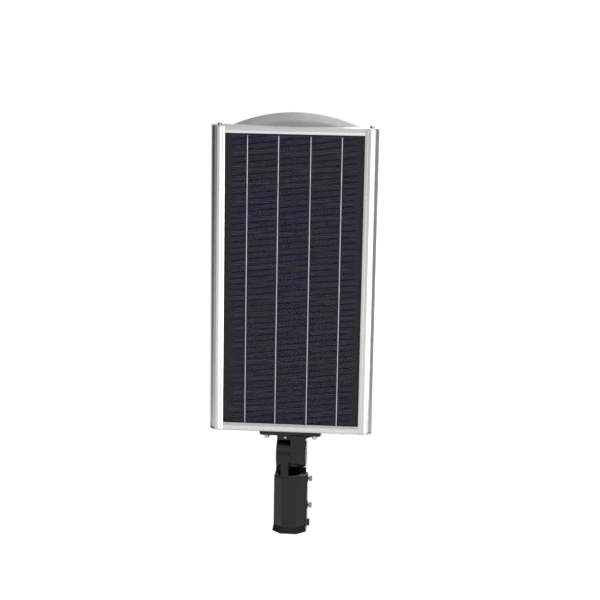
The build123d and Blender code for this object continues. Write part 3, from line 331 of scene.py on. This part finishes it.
def printed_board(name, mask, track, pitch):
    """Circuit board: solder mask over tracks that run square to each other."""
    finish = Finish(name, mask, Specular_IOR_Level=0.5)
    x, _, z = finish.axes()
    cells = finish.node("ShaderNodeTexVoronoi", {"Vector": finish.point, "Scale": 1 / pitch})
    cells.distance = "MANHATTAN"
    lanes = [finish.calc("PINGPONG", axis, pitch / 3) for axis in (x, z)]
    near = finish.calc("MINIMUM", *lanes)
    kept = finish.calc("GREATER_THAN", cells.outputs["Distance"], 0.35)
    drawn = finish.calc("MULTIPLY", finish.calc("LESS_THAN", near, pitch / 22), kept)
    finish.colour(finish.blend(drawn, mask, track))
    finish.roughness(finish.span(finish.noise(900), 0.2, 0.8, 0.25, 0.42))
    finish.relief(drawn, 0.03 * MM)
    return finish.material


def clear_lens():
    """Moulded clear polycarbonate with a slight warm cast."""
    finish = Finish("clear_lens", (0.97, 0.975, 0.97), Transmission_Weight=1.0, IOR=1.49)
    flow = finish.noise(70, detail=2)
    finish.colour(finish.blend(finish.span(flow, 0.3, 0.7), (0.95, 0.955, 0.945), (0.985, 0.985, 0.98)))
    finish.roughness(finish.span(flow, 0.2, 0.8, 0.02, 0.06))
    finish.relief(flow, 0.02 * MM)
    return finish.material


def phosphor():
    """Yellow phosphor gel: fine powder in clear silicone."""
    finish = Finish("led_phosphor", (0.86, 0.62, 0.09), Coat_Weight=0.6, Coat_Roughness=0.12)
    powder = finish.noise(9000, detail=2)
    finish.colour(finish.blend(finish.span(powder, 0.3, 0.7), (0.84, 0.55, 0.06), (0.90, 0.70, 0.16)))
    finish.roughness(finish.span(powder, 0.2, 0.8, 0.3, 0.5))
    return finish.material


BLACK, SOOT = (0.012, 0.012, 0.013), (0.022, 0.022, 0.023)
materials = {
    "anodised_rail": anodised("anodised_rail", "Z"),
    "anodised_bar": anodised("anodised_bar", "X"),
    "end_plate": plain_metal("end_plate", (0.52, 0.52, 0.52), (0.62, 0.62, 0.62), 0.3),
    "zinc_steel": plain_metal("zinc_steel", (0.42, 0.43, 0.45), (0.70, 0.71, 0.73), 0.18),
    "black_zinc": plain_metal("black_zinc", (0.035, 0.035, 0.037), (0.075, 0.075, 0.078), 0.28),
    "dull_steel": plain_metal("dull_steel", (0.20, 0.20, 0.205), (0.34, 0.34, 0.345), 0.36),
    "stainless": plain_metal("stainless", (0.55, 0.55, 0.55), (0.70, 0.70, 0.69), 0.16),
    "controller_alu": plain_metal("controller_alu", (0.48, 0.49, 0.50), (0.60, 0.61, 0.62), 0.34),
    "black_powder_coat": powder_coat(),
    "cast_housing": cast_paint(),
    "panel_glass": clear_sheet("panel_glass", (0.93, 0.95, 0.965), 1.17, 0.09, ripple=0.02 * MM),
    "cell_silicon": cell_silicon(),
    "ribbon_tin": ribbon_tin(),
    "black_laminate": black_sheet(),
    "clear_lens": clear_lens(),
    "led_phosphor": phosphor(),
    "black_rubber": moulded("black_rubber", BLACK, SOOT, roughness=0.6, grain=2400),
    "grey_rubber": moulded("grey_rubber", (0.11, 0.11, 0.11), (0.16, 0.16, 0.16), roughness=0.65),
    "black_plastic": moulded("black_plastic", BLACK, SOOT, roughness=0.42, grain=1100),
    "lead_sheath": moulded("lead_sheath", BLACK, SOOT, roughness=0.4, grain=500),
    "red_sheath": moulded("red_sheath", (0.42, 0.02, 0.015), (0.55, 0.03, 0.02), roughness=0.4, grain=500),
    "battery_wrap": moulded("battery_wrap", (0.02, 0.09, 0.26), (0.03, 0.14, 0.36), roughness=0.3, grain=300),
    "sensor_white": moulded(
        "sensor_white", (0.78, 0.78, 0.76), (0.86, 0.86, 0.84), roughness=0.42, grain=2000,
        edge=0, Subsurface_Weight=0.25, Subsurface_Scale=2 * MM,
    ),
    "status_lens": moulded(
        "status_lens", (0.22, 0.55, 0.22), (0.30, 0.68, 0.28), roughness=0.2, grain=800,
        Subsurface_Weight=0.3, Subsurface_Scale=1 * MM,
    ),
    "led_chip": moulded("led_chip", (0.80, 0.80, 0.78), (0.88, 0.88, 0.86), roughness=0.35, grain=3000),
    "led_board": printed_board("led_board", (0.80, 0.81, 0.80), (0.70, 0.72, 0.72), 11 * MM),
    "green_board": printed_board("green_board", (0.010, 0.105, 0.040), (0.030, 0.200, 0.075), 4 * MM),
}
for name in ("top_bar", "bottom_bar"):
    nodes[name].material_slots[0].material = materials["anodised_bar"]
nodes["pivot_bolt"].material_slots[0].material = materials["black_zinc"]
for name, node in nodes.items():
    for place in node.material_slots:
        if place.material.name not in [m.name for m in materials.values()]:
            place.material = materials[place.material.name.split(".")[0]]


# ---------------------------------------------------------------- added pieces
def new_piece(name, mesh_builder, material, body, sharp_degrees=30):
    """An object made by bmesh code, shaded smooth up to a crease angle, riding on a body."""
    work = bmesh.new()
    mesh_builder(work)
    bmesh.ops.remove_doubles(work, verts=work.verts, dist=1e-6)
    bmesh.ops.dissolve_degenerate(work, edges=work.edges, dist=1e-7)
    bmesh.ops.recalc_face_normals(work, faces=work.faces)
    mesh = bpy.data.meshes.new(name)
    work.to_mesh(mesh)
    work.free()
    mesh.shade_smooth()
    mesh.set_sharp_from_angle(angle=math.radians(sharp_degrees))
    mesh.materials.append(materials[material])
    piece = bpy.data.objects.new(name, mesh)
    bpy.context.scene.collection.objects.link(piece)
    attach(piece, body)
    return piece


def add_lathe(work, profile, matrix, segments=48):
    """Closed solid of revolution: profile is (radius, height) pairs from one axis end to the other."""
    rings = []
    for radius, height in profile:
        if radius == 0:
            rings.append([work.verts.new(matrix @ Vector((0, 0, height)))])
            continue
        ring = []
        for i in range(segments):
            angle = 2 * math.pi * i / segments
            spot = Vector((radius * math.cos(angle), radius * math.sin(angle), height))
            ring.append(work.verts.new(matrix @ spot))
        rings.append(ring)
    for lower, upper in zip(rings, rings[1:]):
        for i in range(segments):
            a, b = lower[i % len(lower)], lower[(i + 1) % len(lower)]
            c, d = upper[(i + 1) % len(upper)], upper[i % len(upper)]
            corners_used = [v for k, v in enumerate((a, b, c, d)) if v not in (a, b, c, d)[:k]]
            work.faces.new(corners_used)


def add_thread(work, radius, pitch, start, length, matrix, around=24):
    """Shank with a V thread cut below radius, from height start to start + length; the far end is tapered."""
    profile = (0.0, 0.0, 0.55, 1.0, 0.55)
    rows_per_turn = len(profile)
    depth = 0.55 * pitch
    taper = 0.8 * pitch
    turns = math.ceil(length / pitch) + 1
    rows = []
    for j in range(-rows_per_turn, turns * rows_per_turn + 1):
        ring = []
        for i in range(around + 1):
            height = (j / rows_per_turn + i / around) * pitch
            inside = min(max(height, 0.0), length)
            cut = depth * profile[j % rows_per_turn]
            end_taper = max(0.0, inside - (length - taper))
            spot_radius = min(radius - cut, radius - end_taper)
            angle = 2 * math.pi * i / around
            spot = Vector(
                (spot_radius * math.cos(angle), spot_radius * math.sin(angle), start + inside)
            )
            ring.append(work.verts.new(matrix @ spot))
        rows.append(ring)
    for lower, upper in zip(rows, rows[1:]):
        for i in range(around):
            work.faces.new((lower[i], lower[i + 1], upper[i + 1], upper[i]))
    for ring, height in ((rows[0], start), (rows[-1], start + length)):
        tip = work.verts.new(matrix @ Vector((0, 0, height)))
        for i in range(around):
            work.faces.new((ring[i], ring[i + 1], tip))


def add_hex_head(work, hex_radius, thickness, matrix):
    """Forged hex head from height 0 down to -thickness, its corners turned off at 30 degrees."""
    top = -thickness
    flat_radius = hex_radius * 0.866 * 0.93
    sides = 6
    steps = 8
    outer_top, outer_low = [], []
    for k in range(sides * steps):
        angle = 2 * math.pi * k / (sides * steps)
        within = (angle % (math.pi / 3)) - math.pi / 6
        edge_radius = hex_radius * 0.866 / math.cos(within)
        drop = (edge_radius - flat_radius) * math.tan(math.radians(30))
        spot = Vector((edge_radius * math.cos(angle), edge_radius * math.sin(angle), 0))
        outer_low.append(work.verts.new(matrix @ spot))
        outer_top.append(work.verts.new(matrix @ (spot + Vector((0, 0, top + drop)))))
    flat = [
        work.verts.new(
            matrix @ Vector((flat_radius * math.cos(a), flat_radius * math.sin(a), top))
        )
        for a in [2 * math.pi * k / (sides * steps) for k in range(sides * steps)]
    ]
    count = sides * steps
    for k in range(count):
        n = (k + 1) % count
        work.faces.new((outer_low[k], outer_low[n], outer_top[n], outer_top[k]))
        work.faces.new((outer_top[k], outer_top[n], flat[n], flat[k]))
    work.faces.new(flat)
    work.faces.new(outer_low)


def flange_bolt_set(work):
    """Four hex bolts, heads inside the head's end, tips below the nuts."""
    low, high = corners("flange_bolts")
    nut_low, _ = corners("flange_nuts")
    head_thickness = BOLT_HEAD
    seat = high.z - head_thickness
    reach = seat - low.z
    threaded = nut_low.z + 9 * MM - low.z
    half_x = (high.x - low.x) / 2 - M6_HEX_RADIUS
    half_y = (high.y - low.y) / 2 - M6_HEX_RADIUS * 0.866
    down = Matrix.Rotation(math.pi, 4, "X")
    for x in (-half_x, half_x):
        for y in (-half_y, half_y):
            matrix = Matrix.Translation((x, y, seat)) @ down
            add_hex_head(work, M6_HEX_RADIUS, head_thickness, matrix)
            plain = reach - threaded
            add_lathe(
                work,
                [(0, -1 * MM), (M6_RADIUS, -1 * MM), (M6_RADIUS, plain), (0, plain)],
                matrix,
                segments=24,
            )
            add_thread(work, M6_RADIUS, M6_PITCH, plain - 0.2 * MM, threaded + 0.2 * MM, matrix)


def clamp_screw(node):
    """Hex set screw that runs in through the sleeve's boss."""
    def build(work):
        low, high = corners(node)
        head_thickness = SET_HEAD
        seat = high.x - head_thickness
        inward = Matrix.Translation((seat, 0, middle(node).z)) @ Matrix.Rotation(-math.pi / 2, 4, "Y")
        add_hex_head(work, M6_HEX_RADIUS, head_thickness, inward @ Matrix.Rotation(math.pi / 6, 4, "Z"))
        add_thread(work, M6_RADIUS, M6_PITCH, -0.2 * MM, seat - low.x + 0.2 * MM, inward)
    return build


def ribbon_links(work):
    """Between strips each busbar ribbon dips from one strip's face to behind the next strip."""
    half_width = 0.65 * MM
    thickness = 0.12 * MM
    centre_z = middle("solar_cells").z
    front = corners("busbar_ribbons")[1].y - 0.02 * MM
    back = corners("solar_cells")[1].y - 0.1 * MM
    columns = [
        side * (CELL_WIDTH + COLUMN_GAP) / 2 + offset * BUSBAR_SPACING / 2
        for side in (-1, 1)
        for offset in (-1, 1)
    ]
    for i in range(STRIPS - 1):
        gap_z = centre_z + (i - (STRIPS - 2) / 2) * STRIP_PITCH
        path = []
        for step in range(9):
            share = step / 8
            ease = share * share * (3 - 2 * share)
            path.append((gap_z + (share - 0.5) * 3.4 * MM, back + (front - back) * ease))
        for x in columns:
            rings = []
            for z, y in path:
                spots = ((-1, 0), (1, 0), (1, 1), (-1, 1))
                rings.append(
                    [work.verts.new((x + sx * half_width, y + sy * thickness, z)) for sx, sy in spots]
                )
            for lower, upper in zip(rings, rings[1:]):
                for k in range(4):
                    n = (k + 1) % 4
                    work.faces.new((lower[k], lower[n], upper[n], upper[k]))
            work.faces.new(rings[0])
            work.faces.new(rings[-1])


def led_places():
    centre = middle("led_chips")
    return [
        (centre.x + (i - (LED_COLUMNS - 1) / 2) * LED_PITCH, centre.z + (j - (LED_ROWS - 1) / 2) * LED_PITCH)
        for i in range(LED_COLUMNS)
        for j in range(LED_ROWS)
    ]


def phosphor_domes(work):
    """A low dome of phosphor gel in each LED's cup."""
    face_y = corners("led_chips")[1].y
    radius, rise = 1.9 * MM, 0.45 * MM
    steps = 6
    profile = [(0, -0.3 * MM), (radius, -0.3 * MM)]
    profile += [
        (radius * math.cos(k / steps * math.pi / 2), rise * math.sin(k / steps * math.pi / 2))
        for k in range(steps)
    ]
    profile.append((0, rise))
    backwards = Matrix.Rotation(-math.pi / 2, 4, "X")
    for x, z in led_places():
        add_lathe(work, profile, Matrix.Translation((x, face_y, z)) @ backwards, segments=24)


def led_tracks(work):
    """Tinned tracks that join the LEDs of each row, on the board's face."""
    face_y = corners("led_board")[1].y
    half_height = 0.9 * MM
    lift = 0.06 * MM
    length = LED_PITCH - 7 * MM
    for x, z in led_places():
        centre_x = x + LED_PITCH / 2
        if centre_x > middle("led_chips").x + (LED_COLUMNS - 1) / 2 * LED_PITCH:
            continue
        matrix = Matrix.LocRotScale(
            Vector((centre_x, face_y + lift / 2, z)), None, Vector((length, lift, 2 * half_height))
        )
        made = bmesh.ops.create_cube(work, size=1, matrix=matrix)
        upright = [e for v in made["verts"] for e in v.link_edges]
        bmesh.ops.bevel(
            work, geom=list(set(upright)), offset=0.02 * MM, segments=1, affect="EDGES"
        )


def fresnel_dome(work):
    """Motion sensor's dome: rows of flat lens facets over a smooth skirt, hollow inside."""
    low, high = corners("sensor_dome")
    radius = (high.x - low.x) / 2
    top_y = high.y
    rise = top_y - DOME_SKIRT_Y
    centre_z = middle("sensor_dome").z
    sphere = (radius ** 2 + rise ** 2) / (2 * rise)
    centre_y = top_y - sphere

    def ring(spot_radius, height):
        made = []
        for k in range(DOME_FACETS):
            angle = 2 * math.pi * k / DOME_FACETS
            spot = (spot_radius * math.cos(angle), height, centre_z + spot_radius * math.sin(angle))
            made.append(work.verts.new(spot))
        return made

    def cap(shrink):
        made = []
        for share in (1.0, 0.78, 0.52, 0.26):
            spot_radius = (radius - shrink) * share
            made.append(ring(spot_radius, centre_y + math.sqrt((sphere - shrink) ** 2 - spot_radius ** 2)))
        apex = work.verts.new((0, centre_y + sphere - shrink, centre_z))
        for outer, inner in zip(made, made[1:]):
            for k in range(DOME_FACETS):
                n = (k + 1) % DOME_FACETS
                work.faces.new((outer[k], outer[n], inner[n], inner[k]))
        for k in range(DOME_FACETS):
            work.faces.new((made[-1][k], made[-1][(k + 1) % DOME_FACETS], apex))
        return made[0]

    outer_rim = cap(0.0)
    inner_rim = cap(DOME_WALL)
    outer_foot = ring(radius, low.y)
    inner_foot = ring(radius - DOME_WALL, low.y)
    for k in range(DOME_FACETS):
        n = (k + 1) % DOME_FACETS
        work.faces.new((outer_rim[k], outer_rim[n], outer_foot[n], outer_foot[k]))
        work.faces.new((inner_rim[k], inner_rim[n], inner_foot[n], inner_foot[k]))
        work.faces.new((outer_foot[k], outer_foot[n], inner_foot[n], inner_foot[k]))


new_piece("ribbon_links", ribbon_links, "ribbon_tin", "head")
new_piece("led_phosphor", phosphor_domes, "led_phosphor", "head")
new_piece("led_tracks", led_tracks, "zinc_steel", "head")
bolts = new_piece("flange_bolt_set", flange_bolt_set, "zinc_steel", "head")
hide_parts("flange_bolts")
for side, body in (("lower", "lower_screw"), ("upper", "upper_screw")):
    node = f"{side}_clamp_screw"
    screw = new_piece(f"{side}_set_screw", clamp_screw(node), "dull_steel", body)
    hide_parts(node)
dome = new_piece("sensor_fresnel_dome", fresnel_dome, "sensor_white", "head", sharp_degrees=4)
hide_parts("sensor_dome")

# The button's spring gets its own copy of its mesh
spring = nodes["button_spring"]
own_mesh(spring)


# ---------------------------------------------------------------- studio
FLOOR_DROP = 0.45
FLOOR_HALF = 2.4


def studio_floor():
    """Wide pale floor well below the lamp; it meets the white surround without a line."""
    mesh = bpy.data.meshes.new("floor")
    signs = [(-1, -1), (1, -1), (1, 1), (-1, 1)]
    spots = [(x * FLOOR_HALF, y * FLOOR_HALF, -FLOOR_DROP) for x, y in signs]
    mesh.from_pydata(spots, [], [(0, 1, 2, 3)])
    finish = Finish("floor", (0.8, 0.8, 0.8), Roughness=0.9)
    seen = finish.node("ShaderNodeLightPath").outputs["Is Camera Ray"]
    white = finish.node("ShaderNodeEmission", {"Color": (1, 1, 1, 1), "Strength": 1.0})
    mixed = finish.node(
        "ShaderNodeMixShader", {0: seen, 1: finish.shader.outputs[0], 2: white.outputs[0]}
    )
    finish.feed(finish.output.inputs["Surface"], mixed.outputs[0])
    mesh.materials.append(finish.material)
    floor = bpy.data.objects.new("floor", mesh)
    bpy.context.scene.collection.objects.link(floor)


def studio_surround():
    """White room with a dark screen on each side, the left one darker, and a bright ceiling."""
    world = bpy.data.worlds.new("studio")
    bpy.context.scene.world = world
    world.use_nodes = True
    tree = world.node_tree
    tree.nodes.clear()

    def add(kind, *values, **settings):
        made = tree.nodes.new(kind)
        for key, value in settings.items():
            setattr(made, key, value)
        for socket, value in zip(made.inputs, values):
            if isinstance(value, bpy.types.NodeSocket):
                tree.links.new(value, socket)
            elif value is not None:
                socket.default_value = value
        return made.outputs[0]

    way = tree.nodes.new("ShaderNodeTexCoord").outputs["Generated"]
    parts = tree.nodes.new("ShaderNodeSeparateXYZ")
    tree.links.new(way, parts.inputs[0])
    x, y, z = parts.outputs
    square_x = add("ShaderNodeMath", x, x, operation="MULTIPLY")
    square_y = add("ShaderNodeMath", y, y, operation="MULTIPLY")
    level = add("ShaderNodeMath", square_x, square_y, operation="ADD")
    level = add("ShaderNodeMath", level, 0.5, operation="POWER")
    level = add("ShaderNodeMath", level, 0.01, operation="MAXIMUM")
    sideways = add("ShaderNodeMath", x, level, operation="DIVIDE")

    def span(value, low, high, to_low, to_high):
        return add("ShaderNodeMapRange", value, low, high, to_low, to_high, interpolation_type="SMOOTHSTEP")

    def product(first, second):
        return add("ShaderNodeMath", first, second, operation="MULTIPLY")

    # In front: brighter lower down, and brighter still to the right
    glow = span(z, -0.26, -0.06, 1.5, 0.60)
    glow = product(glow, span(sideways, -0.06, 0.16, 0.84, 1.24))
    glow = product(glow, span(sideways, 0.10, 0.32, 1.0, 2.6))
    # A dark screen on each side, up to the ceiling; the left one fades lower down
    height = span(z, 0.45, 0.75, 1.0, 0.0)
    left_level = span(z, -0.32, -0.06, 0.30, 0.04)
    left = product(span(sideways, -0.90, -0.70, 1.0, 0.0), height)
    right = product(span(sideways, 0.76, 0.92, 0.0, 1.0), height)
    glow = add("ShaderNodeMix", left, None, glow, left_level)
    glow = add("ShaderNodeMix", right, None, glow, 0.30)
    glow = add("ShaderNodeMath", glow, span(z, 0.5, 0.95, 0.0, 0.35), operation="ADD")
    lit = tree.nodes.new("ShaderNodeBackground")
    tree.links.new(glow, lit.inputs["Strength"])
    white = tree.nodes.new("ShaderNodeBackground")
    white.inputs["Color"].default_value = (1, 1, 1, 1)
    seen = tree.nodes.new("ShaderNodeLightPath").outputs["Is Camera Ray"]
    mixed = add("ShaderNodeMixShader", seen, lit.outputs[0], white.outputs[0])
    output = tree.nodes.new("ShaderNodeOutputWorld")
    tree.links.new(mixed, output.inputs["Surface"])


def softbox(name, place, target, width, height, power):
    """Rectangular soft light at place, aimed at target."""
    light = bpy.data.lights.new(name, "AREA")
    light.shape = "RECTANGLE"
    light.size = width
    light.size_y = height
    light.energy = power
    lamp = bpy.data.objects.new(name, light)
    lamp.location = place
    lamp.rotation_euler = (Vector(target) - Vector(place)).to_track_quat("-Z", "Y").to_euler()
    bpy.context.scene.collection.objects.link(lamp)


def studio_camera():
    """Camera a little above and to the right of the panel's axis, a touch rolled."""
    turn, rise, roll = 0.0718, 0.192, 0.0172
    distance = 3.0428
    aim = Vector((0, -0.028, 0.532))
    slide_right, slide_up = 0.01509, -0.03387
    back = Vector((math.sin(turn) * math.cos(rise), -math.cos(turn) * math.cos(rise), math.sin(rise)))
    level_right = Vector((math.cos(turn), math.sin(turn), 0))
    level_up = back.cross(level_right)
    right = math.cos(roll) * level_right + math.sin(roll) * level_up
    up = -math.sin(roll) * level_right + math.cos(roll) * level_up
    place = aim + slide_right * right + slide_up * up + distance * back
    data = bpy.data.cameras.new("camera")
    data.sensor_width = 36
    data.lens = 89.92
    camera = bpy.data.objects.new("camera", data)
    camera.matrix_world = Matrix.Translation(place) @ Matrix((right, up, back)).transposed().to_4x4()
    bpy.context.scene.collection.objects.link(camera)
    bpy.context.scene.camera = camera


studio_floor()
studio_surround()
centre = (0, 0, middle("panel_glass").z)
softbox("key", (0.9, -2.4, 2.3), centre, 1.2, 1.2, 10)
softbox("fill", (-0.9, -2.6, 1.9), centre, 1.2, 1.2, 4)
softbox("rear", (0.6, 2.4, 1.9), centre, 1.8, 1.2, 18)
studio_camera()
bpy.context.scene.view_settings.view_transform = "Standard"
